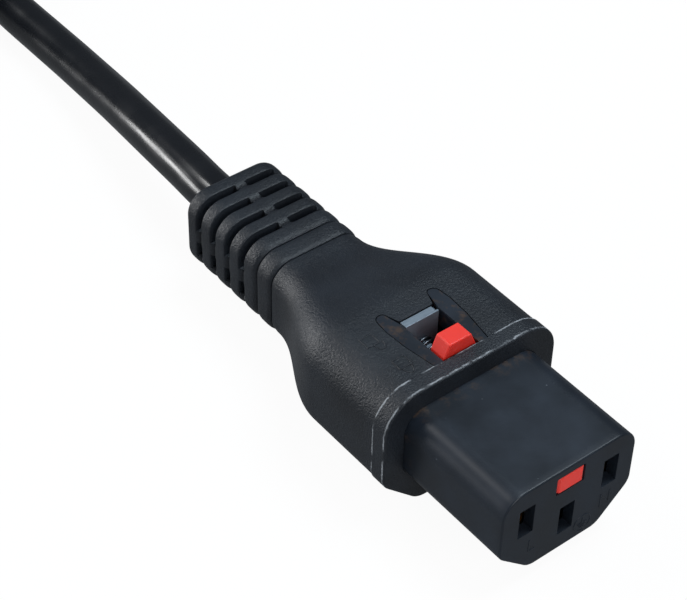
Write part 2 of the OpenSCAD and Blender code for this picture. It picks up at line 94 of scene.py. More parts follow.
def corner_arcs(a: Points, b: Points, c: Points, r: Points, steps: int) -> Points:
    """Arcs that round the corner b of the paths a, b, c.

    The centre lies on the bisector of the corner, r / sin(half the corner's angle) from it, and the
    arc runs between the feet of the centre on the two sides.

    Args:
        a, b, c: points, one row each.
        r: radius of each row's arc.
        steps: number of steps along the arc.

    Returns:
        Points, rows by steps + 1 by 2.
    """
    u, v = unit(a - b), unit(c - b)
    half = np.arccos(np.clip((u * v).sum(-1), -1.0, 1.0)) / 2.0
    centre = b + unit(u + v) * (r / np.sin(half))[:, None]
    first = b + u * (r / np.tan(half))[:, None] - centre
    last = b + v * (r / np.tan(half))[:, None] - centre
    start = np.arctan2(first[:, 1], first[:, 0])
    turn = (np.arctan2(last[:, 1], last[:, 0]) - start + 3 * np.pi) % (2 * np.pi) - np.pi
    angle = start[:, None] + turn[:, None] * np.linspace(0.0, 1.0, steps + 1)
    ring = np.stack([np.cos(angle), np.sin(angle)], -1)
    return centre[:, None, :] + r[:, None, None] * ring


def rounded_outline(points: Sequence[Sequence[float]], radii: Sequence[float],
                    steps: int = 8) -> Points:
    """A closed outline with each corner rounded by its own radius."""
    p = np.array(points, float)
    arcs = [
        corner_arcs(p[i - 1][None], p[i][None], p[(i + 1) % len(p)][None], np.array([radii[i]]), steps)[0]
        for i in range(len(p))
    ]
    return np.concatenate(arcs)


@dataclass(frozen=True)
class KeyedSections:
    """Sections with two round top corners and two cut lower ones, one for each value in the arrays."""

    w: Points
    h: Points
    top_r: Points
    cut_y: Points
    cut_z: Points
    cut_r: Points
    lift: Points

    ARC_STEPS = (10, 24, 24, 10, 10, 10)
    SIDE_STEPS = (26, 64, 26, 16, 40, 16)

    @classmethod
    def of(cls, rows: int, **sizes: Any) -> "KeyedSections":
        """Sections with each size spread to rows values."""
        return cls(**{k: np.broadcast_to(np.asarray(v, float), (rows,)).copy() for k, v in sizes.items()})

    def inset(self, by: Any) -> "KeyedSections":
        """The sections drawn in by this much all round, so every side moves in by the same amount."""
        slant = 2.0 - math.sqrt(2.0)
        return KeyedSections(
            self.w - 2 * by, self.h - 2 * by, self.top_r - by, self.cut_y - slant * by,
            self.cut_z - slant * by, self.cut_r - by, self.lift + 0.0 * by,
        )

    def points(self) -> Points:
        """Points round each section: arcs at the six corners and straight runs between them.

        Returns:
            Points (y, z), rows by columns by 2, counterclockwise with y to the right.
        """
        w, h, cy, cz = self.w / 2, self.h / 2, self.cut_y, self.cut_z
        corners = [(w, cz - h), (w, h), (-w, h), (-w, cz - h), (cy - w, -h), (w - cy, -h)]
        c = [np.stack(p, -1) for p in corners]
        r = [self.cut_r, self.top_r, self.top_r, self.cut_r, self.cut_r, self.cut_r]
        arcs = [corner_arcs(c[i - 1], c[i], c[(i + 1) % 6], r[i], self.ARC_STEPS[i]) for i in range(6)]
        parts = []
        for i, steps in enumerate(self.SIDE_STEPS):
            t = (np.arange(1, steps) / steps)[None, :, None]
            parts += [arcs[i], mix(arcs[i][:, -1:], arcs[(i + 1) % 6][:, :1], t)]
        ring = np.concatenate(parts, 1)
        ring[..., 1] += self.lift[:, None]
        return ring


def at_x(x: Points, sections: Points) -> Points:
    """Sections (y, z) set at the stations x, as points (x, y, z)."""
    stations = np.broadcast_to(np.asarray(x, float)[:, None, None], sections.shape[:2] + (1,))
    return np.concatenate([stations, sections], -1)


def round_like(sections: Points, radius: float, lift: float) -> Points:
    """Circles whose points lie at the same angles as the sections' points, so nothing twists."""
    angle = np.arctan2(sections[..., 1] - lift, sections[..., 0])
    return np.stack([radius * np.cos(angle), lift + radius * np.sin(angle)], -1)


def outward(sections: Points) -> Points:
    """Direction square to each section at each of its points, pointing out."""
    way = unit(np.roll(sections, -1, 1) - np.roll(sections, 1, 1))
    return np.stack([way[..., 1], -way[..., 0]], -1)


def girth(section: Points) -> Points:
    """Distance of each point along the section from its top centre, positive to the right."""
    gaps = np.linalg.norm(np.roll(section, -1, 0) - section, axis=-1)
    along = np.concatenate([[0.0], np.cumsum(gaps)[:-1]])
    top = np.argmin(np.abs(section[:, 0]) - section[:, 1])
    total = gaps.sum()
    return -((along - along[top] + total / 2) % total - total / 2)


def spline(points: Points, step: float) -> Points:
    """A smooth line through the points: on each stretch a cubic with the slopes of a Catmull-Rom spline.

    Args:
        points: the points that it passes through.
        step: greatest distance between the points that come back.

    Returns:
        Points along the line.
    """
    ends = np.concatenate([[2 * points[0] - points[1]], points, [2 * points[-1] - points[-2]]])
    slope = (ends[2:] - ends[:-2]) / 2
    line = []
    for a, b, sa, sb in zip(points[:-1], points[1:], slope[:-1], slope[1:]):
        n = max(2, math.ceil(np.linalg.norm(b - a) / step))
        t = (np.arange(n) / n)[:, None]
        line.append((2 * t**3 - 3 * t**2 + 1) * a + (t**3 - 2 * t**2 + t) * sa
                    + (3 * t**2 - 2 * t**3) * b + (t**3 - t**2) * sb)
    return np.concatenate(line + [points[-1:]])


def sweep(line: Points, profile: Points) -> Points:
    """A profile carried along a line, turned so that its own up stays as near upright as it can.

    Each row is line[i] + across * profile_x + up * profile_y, where across is square to the line's
    direction, and turns from row to row only as far as the line does.
    """
    way = unit(np.gradient(line, axis=0))
    up = np.zeros_like(line)
    side = np.cross([0.0, 0.0, 1.0], way[0])
    side = side if np.linalg.norm(side) > 1e-6 else np.array([0.0, 1.0, 0.0])
    up[0] = unit(np.cross(way[0], side))
    for i in range(1, len(line)):
        up[i] = unit(up[i - 1] - way[i] * (up[i - 1] @ way[i]))
    across = np.cross(up, way)
    return line[:, None] + profile[None, :, :1] * across[:, None] + profile[None, :, 1:] * up[:, None]


def ring_profile(radius: float, count: int) -> Points:
    """Points round a circle."""
    a = np.arange(count) * 2 * np.pi / count
    return radius * np.stack([np.cos(a), np.sin(a)], -1)


def ripple(*coordinates: Points) -> Points:
    """An uneven wave between about -1 and 1: three sines whose lengths have no common measure."""
    a = sum(c * k for c, k in zip(coordinates, (1.0, 1.7, 2.3)))
    return (np.sin(a) + np.sin(2.39 * a + 1.3) + np.sin(5.17 * a + 4.1)) / 3.0


# ---- Meshes --------------------------------------------------------------------------------------


def new_piece(name: str, points: Points, faces: Sequence[Sequence[int]]) -> Piece:
    """An object at the origin with these points, in millimetres, and faces."""
    mesh = bpy.data.meshes.new(name)
    mesh.from_pydata((np.asarray(points, float).reshape(-1, 3) * MM).tolist(), [], faces)
    mesh.update()
    piece = bpy.data.objects.new(name, mesh)
    bpy.context.scene.collection.objects.link(piece)
    return piece


def grid_piece(name: str, rows: Points, loop: bool = False, caps: bool = False) -> Piece:
    """A skin over rows of points, each row closed on itself.

    The faces are turned outwards by the sign of the volume that they enclose. A UV map holds the
    distance along the rows and round them, in millimetres.

    Args:
        name: the piece's name.
        rows: points, rows by columns by 3.
        loop: the last row joins the first.
        caps: the first and last rows are each filled by a face.
    """
    m, n = rows.shape[:2]
    i = np.arange(m if loop else m - 1)[:, None]
    j = np.arange(n)[None, :]
    below, right = (i + 1) % m, (j + 1) % n
    quads = np.stack([i * n + j, below * n + j, below * n + right, i * n + right], -1).reshape(-1, 4)
    p = rows.reshape(-1, 3) - rows.reshape(-1, 3).mean(0)
    a, b, c, d = (p[quads[:, k]] for k in range(4))
    inward = (a * np.cross(b, c) + a * np.cross(c, d)).sum() < 0
    along = np.concatenate([[0.0], np.cumsum(np.linalg.norm(np.diff(rows, axis=0), axis=-1).mean(1))])
    along = np.append(along, along[-1] + np.linalg.norm(rows[0] - rows[-1], axis=-1).mean())
    around = np.linspace(0.0, np.linalg.norm(np.roll(rows, -1, 1) - rows, axis=-1).mean(0).sum(), n + 1)
    i, j = np.broadcast_arrays(i, j)
    uv = np.stack([np.stack([along[i], along[i + 1], along[i + 1], along[i]], -1),
                   np.stack([around[j], around[j], around[j + 1], around[j + 1]], -1)], -1)
    uv = uv.reshape(-1, 4, 2)
    if inward:
        quads, uv = quads[:, ::-1], uv[:, ::-1]
    faces = quads.tolist()
    if caps:
        ends = [np.arange(n), (m - 1) * n + np.arange(n)[::-1]]
        faces += [(end[::-1] if inward else end).tolist() for end in ends]
    piece = new_piece(name, rows, faces)
    layer = piece.data.uv_layers.new(name="UVMap")
    flat = np.zeros((len(layer.data), 2))
    flat[: len(quads) * 4] = uv.reshape(-1, 2)
    layer.data.foreach_set("uv", flat.ravel())
    return piece


def prism(name: str, outline: Points, ends: Sequence[float], axis: int) -> Piece:
    """A closed outline drawn out between two ends along axis 0, 1 or 2.

    The outline's two coordinates are the other two axes, in their own order.
    """
    level = [np.insert(outline, axis, end, axis=1) for end in ends]
    return grid_piece(name, np.stack(level), caps=True)


def block(name: str, low: Sequence[float], high: Sequence[float]) -> Piece:
    """A box between two corners."""
    outline = np.array([[low[1], low[2]], [high[1], low[2]], [high[1], high[2]], [low[1], high[2]]])
    return prism(name, outline, (low[0], high[0]), 0)


def points_of(piece: Piece) -> Points:
    """A mesh's points, in millimetres."""
    flat = np.zeros(len(piece.data.vertices) * 3)
    piece.data.vertices.foreach_get("co", flat)
    return flat.reshape(-1, 3) / MM


def move_points(piece: Piece, change: Callable[[Points], Points]) -> None:
    """Put a mesh's points through a change of place; points go in and come out in millimetres."""
    piece.data.vertices.foreach_set("co", (change(points_of(piece)) * MM).ravel())
    piece.data.update()


def apply_modifiers(piece: Piece) -> None:
    """Put the modifiers' result in the mesh, and drop them."""
    mesh = bpy.data.meshes.new_from_object(piece.evaluated_get(bpy.context.evaluated_depsgraph_get()))
    piece.modifiers.clear()
    piece.data = mesh


def carve(piece: Piece, cutters: Sequence[Piece]) -> None:
    """Cut each cutter's space out of the piece, and delete the cutters."""
    for cutter in cutters:
        cut = piece.modifiers.new("cut", "BOOLEAN")
        cut.operation, cut.solver, cut.object = "DIFFERENCE", "EXACT", cutter
    apply_modifiers(piece)
    for cutter in cutters:
        bpy.data.objects.remove(cutter)


def join(name: str, pieces: Sequence[Piece]) -> Piece:
    """One object that holds the meshes of several, which are deleted."""
    points, faces, start = [], [], 0
    for piece in pieces:
        points.append(points_of(piece))
        faces += [[v + start for v in polygon.vertices] for polygon in piece.data.polygons]
        start += len(points[-1])
        bpy.data.objects.remove(piece)
    return new_piece(name, np.concatenate(points), faces)


def shade_smooth(piece: Piece, angle: float = 32.0) -> None:
    """Smooth shading, with creases where faces meet at more than the angle, and flats kept flat."""
    piece.data.polygons.foreach_set("use_smooth", [True] * len(piece.data.polygons))
    piece.data.set_sharp_from_angle(angle=math.radians(angle))
    even = piece.modifiers.new("even", "WEIGHTED_NORMAL")
    even.keep_sharp = True


def soften(piece: Piece, width: float, segments: int = 3, angle: float = 30.0) -> None:
    """Round the piece's edges by a bevel of this width."""
    edge = piece.modifiers.new("edges", "BEVEL")
    edge.width, edge.segments, edge.limit_method = width * MM, segments, "ANGLE"
    edge.angle_limit = math.radians(angle)
    shade_smooth(piece)


def cad_copy(name: str, node: str) -> Piece:
    """A copy of a CAD node's mesh whose loose triangles are merged into whole flats."""
    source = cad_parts[node]
    points = points_of(source)
    keys = np.round(points * 1000).astype(np.int64)
    _, first, inverse = np.unique(keys, axis=0, return_index=True, return_inverse=True)
    inverse = inverse.ravel()
    faces = [[int(inverse[v]) for v in polygon.vertices] for polygon in source.data.polygons]
    faces = [face for face in faces if len(set(face)) == len(face)]
    piece = new_piece(name, points[first], faces)
    flats = piece.modifiers.new("flats", "DECIMATE")
    flats.decimate_type, flats.angle_limit = "DISSOLVE", math.radians(1.0)
    apply_modifiers(piece)
    return piece


@dataclass(frozen=True)
class Datum:
    """Where a moulded end's own axes lie in the frame; turned ones point the other way along X."""

    origin: tuple[float, float, float]
    turned: bool = False

    def place(self, points: Points) -> Points:
        """Points in the end's own axes, carried into the frame."""
        sign = np.array([-1.0, -1.0, 1.0]) if self.turned else np.ones(3)
        return points * sign + np.array(self.origin)

    def set(self, piece: Piece) -> Piece:
        """Carry a piece that was made in the end's own axes into the frame."""
        move_points(piece, self.place)
        return piece


# ---- Finishes ------------------------------------------------------------------------------------

def linear(colour: str) -> tuple[float, float, float, float]:
    """An sRGB hex colour as linear values with full alpha."""
    srgb = [int(colour[i:i + 2], 16) / 255 for i in (1, 3, 5)]
    return (*((c / 12.92 if c <= 0.04045 else ((c + 0.055) / 1.055) ** 2.4) for c in srgb), 1.0)


def per_mm(size: float) -> float:
    """Scale of a texture whose lumps, cells or bands are this many millimetres across."""
    return 1 / (size * MM)


def fill(tree: Tree, node: bpy.types.Node, inputs: Any) -> None:
    """Set a node's sockets to values and link outputs of other nodes to them.

    Args:
        tree: the node tree.
        node: the node.
        inputs: a dict by the socket's name or place, or a sequence in the sockets' own order.
    """
    for socket, value in (inputs if isinstance(inputs, dict) else dict(enumerate(inputs))).items():
        if isinstance(value, Socket):
            tree.links.new(value, node.inputs[socket])
        else:
            node.inputs[socket].default_value = value


def add_node(tree: Tree, kind: str, inputs: Any = (), out: Any = 0,
             **settings: Any) -> Socket:
    """Add a node with its settings, its sockets' values and the links into them.

    Args:
        tree: the node tree.
        kind: the shader node's type, without the prefix that they share.
        inputs: what its sockets get, as fill takes it.
        out: the output wanted, by name or place.

    Returns:
        That output of the new node.
    """
    node = tree.nodes.new("ShaderNode" + kind)
    for key, value in settings.items():
        setattr(node, key, value)
    fill(tree, node, inputs)
    return node.outputs[out]


class Finish:
    """Base of the finishes: builds its material once and gives it to pieces."""

    name: str = ""
    slot: str = ""

    def sockets(self, add: AddNode, where: Socket) -> Sockets:
        """What the shader's sockets get.

        Args:
            add: adds a node to the material's tree.
            where: the place in the object.

        Returns:
            Values and nodes' outputs, by socket.
        """
        raise NotImplementedError

    def material(self) -> bpy.types.Material:
        """The finish's material, made on first use."""
        made = bpy.data.materials.get(self.name)
        if made:
            return made
        made = bpy.data.materials.new(self.name)
        made.use_nodes = True
        tree = made.node_tree
        tree.nodes.clear()
        add = partial(add_node, tree)
        shader = add("BsdfPrincipled", self.sockets(add, add("TexCoord", out="Object")))
        fill(tree, tree.nodes.new("ShaderNodeOutputMaterial"), {"Surface": shader})
        return made

    def dress(self, piece: Piece) -> None:
        """Give the piece this finish in every material slot."""
        if not piece.data.materials:
            piece.data.materials.append(self.material())
        for i in range(len(piece.data.materials)):
            piece.data.materials[i] = self.material()
        for place in piece.material_slots:
            place.material = self.material()


def specks(add: AddNode, where: Socket, spacing: float, patch: float,
           most: tuple[float, float, float]) -> Socket:
    """Dust: 1 in the middles of cells, out to a size that changes slowly, and 0 elsewhere.

    Args:
        add: adds a node.
        where: the place in the object.
        spacing: width of the cells.
        patch: width of the dusty patches.
        most: noise at which the specks start, noise at which they are biggest, and that size.

    Returns:
        The output that holds it.
    """
    cells = add("TexVoronoi", {"Vector": where, "Scale": per_mm(spacing)})
    slow = add("TexNoise", {"Vector": where, "Scale": per_mm(patch)})
    size = add("MapRange", (slow, most[0], most[1], 0.0, most[2]))
    return add("Math", (cells, size), operation="LESS_THAN")


@dataclass(frozen=True)
class SparkErodedPvc(Finish):
    """Soft PVC moulded in a spark-eroded tool: a dull even grain that glints where light grazes it."""

    name: str = "spark_eroded_pvc"
    slot: str = "overmould"
    colour: str = "#15191f"
    worn: str = "#1c2128"
    # pale colour of the lines at the flange's edges: partly torn flash, partly a painted highlight where
    # light glances off the edges' rounding
    edge_highlight_and_flash: str = "#a5aab0"
    grain: float = 0.3            # width of the eroded pits, drawn a little coarse so that they show
    pit_depth: float = 0.12
    edges: tuple[float, ...] = ()  # places along X where the flange's edges get broken pale lines: partly torn flash, partly a painted highlight along their rounding
    tear: float = 0.5             # how far the pale edge line wanders along X
    tear_half: tuple[float, float] = (0.17, 0.05)   # from the line's middle to none and to all of it

    def sockets(self, add: AddNode, where: Socket) -> Sockets:
        """Pits over slow waves, uneven black, and broken pale lines at the flange's edges, partly torn flash
        and partly a painted highlight.
        """
        pits = add("TexNoise", {"Vector": where, "Scale": per_mm(self.grain), "Detail": 3.0,
                                "Roughness": 0.6})
        broad = add("TexNoise", {"Vector": where, "Scale": per_mm(9.0), "Detail": 3.0})
        uneven = add("MapRange", (broad, 0.35, 0.65))
        colour = add("Mix", {0: uneven, 6: linear(self.colour), 7: linear(self.worn)}, 2,
                     data_type="RGBA")
        x = add("SeparateXYZ", (where,))
        ragged = add("TexNoise", {"Vector": where, "Scale": per_mm(1.1), "Detail": 4.0, "Roughness": 0.7})
        broken = add("TexNoise", {"Vector": where, "Scale": per_mm(3.0), "Detail": 4.0, "Roughness": 0.7})
        # painted highlight: a broken pale line along each flange edge stands in for light glancing off its
        # rounding, together with torn flash
        for edge in self.edges:
            middle = add("Math", (ragged, self.tear * MM, (edge - self.tear / 2) * MM),
                         operation="MULTIPLY_ADD")
            off = add("Math", (add("Math", (x, middle), operation="SUBTRACT"),), operation="ABSOLUTE")
            line = add("MapRange", (off, self.tear_half[0] * MM, self.tear_half[1] * MM))
            patch = add("MapRange", (broken, 0.42, 0.56))
            torn = add("Math", (line, patch), operation="MULTIPLY")
            share = add("Math", (torn, 0.6), operation="MULTIPLY")
            colour = add("Mix", {0: share, 6: colour, 7: linear(self.edge_highlight_and_flash)}, 2, data_type="RGBA")
        slow = add("TexNoise", {"Vector": where, "Scale": per_mm(1.3)})
        under = add("Bump", {"Height": slow, "Distance": 0.02 * MM})
        return {"Base Color": colour, "Roughness": add("MapRange", (pits, 0.3, 0.7, 0.36, 0.54)),
                "Specular IOR Level": 0.38,
                "Normal": add("Bump", {"Height": pits, "Distance": self.pit_depth * MM, "Normal": under})}


@dataclass(frozen=True)
class MouldedNylon(Finish):
    """Hard nylon from a fine-ground tool: almost smooth, with dust and light rubs on it."""

    name: str = "moulded_nylon"
    slot: str = "insert_plastic"
    colour: str = "#181d24"
    rubbed: str = "#1e252f"
    dust: str = "#5d636b"
    grime: str = "#4c3a2c"
    specks: float = 1.7           # spacing of the dust specks
    root: float = 17.1            # place along X where the nose leaves the flange, with grime ahead of it
    grime_l: float = 2.5

    def sockets(self, add: AddNode, where: Socket) -> Sockets:
        """Slow uneven black, specks where cells' middles pass a changing size, and grime at the root."""
        broad = add("TexNoise", {"Vector": where, "Scale": per_mm(7.0), "Detail": 3.0})
        uneven = add("MapRange", (broad, 0.35, 0.7))
        colour = add("Mix", {0: uneven, 6: linear(self.colour), 7: linear(self.rubbed)}, 2,
                     data_type="RGBA")
        speck = specks(add, where, self.specks, 2.6, (0.5, 0.75, 0.085))
        share = add("Math", (speck, 0.6), operation="MULTIPLY")
        colour = add("Mix", {0: share, 6: colour, 7: linear(self.dust)}, 2, data_type="RGBA")
        x = add("SeparateXYZ", (where,))
        close = add("MapRange", (x, (self.root + self.grime_l) * MM, self.root * MM))
        smear = add("TexNoise", {"Vector": where, "Scale": per_mm(1.6), "Detail": 4.0, "Roughness": 0.7})
        dirty = add("Math", (close, add("MapRange", (smear, 0.52, 0.66))), operation="MULTIPLY")
        share = add("Math", (dirty, 0.5), operation="MULTIPLY")
        colour = add("Mix", {0: share, 6: colour, 7: linear(self.grime)}, 2, data_type="RGBA")
        fine = add("TexNoise", {"Vector": where, "Scale": per_mm(0.5), "Detail": 3.0})
        return {"Base Color": colour, "Roughness": add("MapRange", (broad, 0.3, 0.7, 0.34, 0.44)),
                "Specular IOR Level": 0.36, "Normal": add("Bump", {"Height": fine, "Distance": 0.006 * MM})}


@dataclass(frozen=True)
class GlossMoulding(Finish):
    """Coloured plastic from a polished tool: even colour, soft gloss, faint flow marks."""

    name: str = "red_acetal"
    slot: str = "slider_red"
    colour: str = "#dd3429"
    deep: str = "#d62f25"
    roughness: float = 0.4
    scatter: float = 0.0          # share of light that wanders under the skin before it leaves

    def sockets(self, add: AddNode, where: Socket) -> Sockets:
        """Slow flow marks in colour and gloss."""
        flow = add("TexNoise", {"Vector": where, "Scale": per_mm(2.2)})
        uneven = add("MapRange", (flow, 0.3, 0.7))
        gloss = add("MapRange", (flow, 0.3, 0.7, self.roughness, self.roughness + 0.08))
        fine = add("TexNoise", {"Vector": where, "Scale": per_mm(0.6)})
        return {"Base Color": add("Mix", {0: uneven, 6: linear(self.colour), 7: linear(self.deep)}, 2,
                                  data_type="RGBA"),
                "Roughness": gloss, "IOR": 1.48, "Subsurface Weight": self.scatter,
                "Subsurface Scale": 0.8 * MM,
                "Normal": add("Bump", {"Height": fine, "Distance": 0.004 * MM})}


class Grain(Enum):
    """How a metal's surface was left, as how far its lines are stretched along each axis."""

    ROLLED = (1.0, 0.08, 1.0)
    DRAWN = (0.1, 1.0, 1.0)
    PLATED = (1.0, 1.0, 1.0)


@dataclass(frozen=True)
class Metal(Finish):
    """Sheet or wire metal, with lines along its rolling or drawing, or an even plated skin."""

    name: str = "zinc_steel"
    slot: str = "bracket_steel"
    colour: str = "#7f8c98"
    roughness: float = 0.42
    grain: Grain = Grain.ROLLED
    metallic: float = 1.0
    line: float = 0.12            # width of the lines

    def sockets(self, add: AddNode, where: Socket) -> Sockets:
        """Fine lines in colour, gloss and relief."""
        along = add("Mapping", {"Vector": where, "Scale": self.grain.value})
        lines = add("TexNoise", {"Vector": along, "Scale": per_mm(self.line), "Detail": 3.0,
                                 "Roughness": 0.6})
        darker = tuple(c * 0.8 for c in linear(self.colour)[:3]) + (1.0,)
        uneven = add("MapRange", (lines, 0.3, 0.7))
        gloss = add("MapRange", (lines, 0.3, 0.7, self.roughness - 0.06, self.roughness + 0.08))
        return {"Base Color": add("Mix", {0: uneven, 6: darker, 7: linear(self.colour)}, 2,
                                  data_type="RGBA"),
                "Metallic": self.metallic, "Roughness": gloss,
                "Normal": add("Bump", {"Height": lines, "Distance": 0.008 * MM})}


@dataclass(frozen=True)
class CablePvc(Finish):
    """Extruded PVC sheath: glossy, with faint lines along its length and a little dust."""

    name: str = "extruded_pvc"
    slot: str = "cord_pvc"
    colour: str = "#15171b"
    dust: str = "#5a6067"
    specks: float = 2.4           # spacing of the dust specks

    def sockets(self, add: AddNode, where: Socket) -> Sockets:
        """Lines along the UV map's length over slow waves, and specks of dust."""
        drawn = add("Mapping", {"Vector": add("TexCoord", out="UV"), "Scale": (0.02, 1.6, 1.0)})
        lines = add("TexNoise", {"Vector": drawn, "Scale": 1.0})
        speck = specks(add, where, self.specks, 4.0, (0.5, 0.8, 0.07))
        share = add("Math", (speck, 0.5), operation="MULTIPLY")
        broad = add("TexNoise", {"Vector": where, "Scale": per_mm(5.0)})
        gloss = add("MapRange", (broad, 0.3, 0.7, 0.22, 0.32))
        slow = add("TexNoise", {"Vector": where, "Scale": per_mm(3.5)})
        under = add("Bump", {"Height": slow, "Distance": 0.03 * MM})
        return {"Base Color": add("Mix", {0: share, 6: linear(self.colour), 7: linear(self.dust)}, 2,
                                  data_type="RGBA"),
                "Roughness": gloss, "Specular IOR Level": 0.5,
                "Normal": add("Bump", {"Height": lines, "Distance": 0.02 * MM, "Normal": under})}


@dataclass(frozen=True)
class EarthCorePvc(Finish):
    """Core insulation in green with a yellow stripe that winds slowly round it."""

    name: str = "green_yellow_pvc"
    slot: str = "core_green_yellow"
    green: str = "#2f8a3c"
    yellow: str = "#e2cf3a"

    def sockets(self, add: AddNode, where: Socket) -> Sockets:
        """Slanting bands with crisp edges."""
        bands = add("TexWave", {"Vector": where, "Scale": per_mm(8.0), "Distortion": 0.3}, "Fac",
                    bands_direction="DIAGONAL")
        share = add("MapRange", (bands, 0.48, 0.52))
        uneven = add("TexNoise", {"Vector": where, "Scale": per_mm(1.5)})
        return {"Base Color": add("Mix", {0: share, 6: linear(self.green), 7: linear(self.yellow)}, 2,
                                  data_type="RGBA"),
                "Roughness": add("MapRange", (uneven, 0.3, 0.7, 0.35, 0.45))}


@dataclass(frozen=True)
class WovenTape(Finish):
    """Woven hook-and-loop tape: fine ribs across the strap under a short pile."""

    name: str = "woven_tape"
    slot: str = "tie_fabric"
    colour: str = "#2b2e33"
    lit: str = "#4a4f56"
    thread: float = 0.6

    def sockets(self, add: AddNode, where: Socket) -> Sockets:
        """Two waves at right angles, multiplied."""
        wave = {"Vector": where, "Scale": per_mm(self.thread) / math.tau, "Distortion": 1.2}
        warp, weft = (add("TexWave", wave, "Fac", bands_direction=axis) for axis in "XZ")
        weave = add("Math", (warp, weft), operation="MULTIPLY")
        return {"Base Color": add("Mix", {0: weave, 6: linear(self.colour), 7: linear(self.lit)}, 2,
                                  data_type="RGBA"),
                "Roughness": add("MapRange", (weave, 0.0, 1.0, 0.95, 0.75)), "Sheen Weight": 0.3,
                "Normal": add("Bump", {"Height": weave, "Distance": 0.15 * MM})}


RED = GlossMoulding(scatter=0.35)
NYLON = MouldedNylon()
STEEL = Metal(metallic=0.45)
SPRING = Metal("music_wire", "spring_steel", "#5a5e63", 0.36, Grain.DRAWN)
LOCK_STEEL = Metal("hardened_steel", "lock_steel", "#8f959b", 0.36, Grain.ROLLED)
BRASS = Metal("pressed_brass", "contact_brass", "#c49a45", 0.34, Grain.ROLLED)
PIN = Metal("nickel_plated_brass", "pin_brass", "#c9c4b6", 0.24, Grain.PLATED)
COPPER = Metal("bunched_copper", "copper", "#b86f3c", 0.4, Grain.DRAWN)
CABLE = CablePvc()
TAPE = WovenTape()
LIVE_CORE = GlossMoulding("brown_pvc", "core_brown", "#6b4226", "#5f3a20", 0.4)
NEUTRAL_CORE = GlossMoulding("blue_pvc", "core_blue", "#2f62a8", "#2a579b", 0.4)
EARTH_CORE = EarthCorePvc()


def settle(piece: Piece, finish: Finish, body: str = "root", replaces: Sequence[str] = ()) -> None:
    """Dress a new piece, set it on its body, and hide the CAD nodes that it stands for."""
    finish.dress(piece)
    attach(piece, body)
    if replaces:
        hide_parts(*replaces)
    log.info("%s: %d faces, %s", piece.name, len(piece.data.polygons), finish.name)


# ---- Moulded ends --------------------------------------------------------------------------------


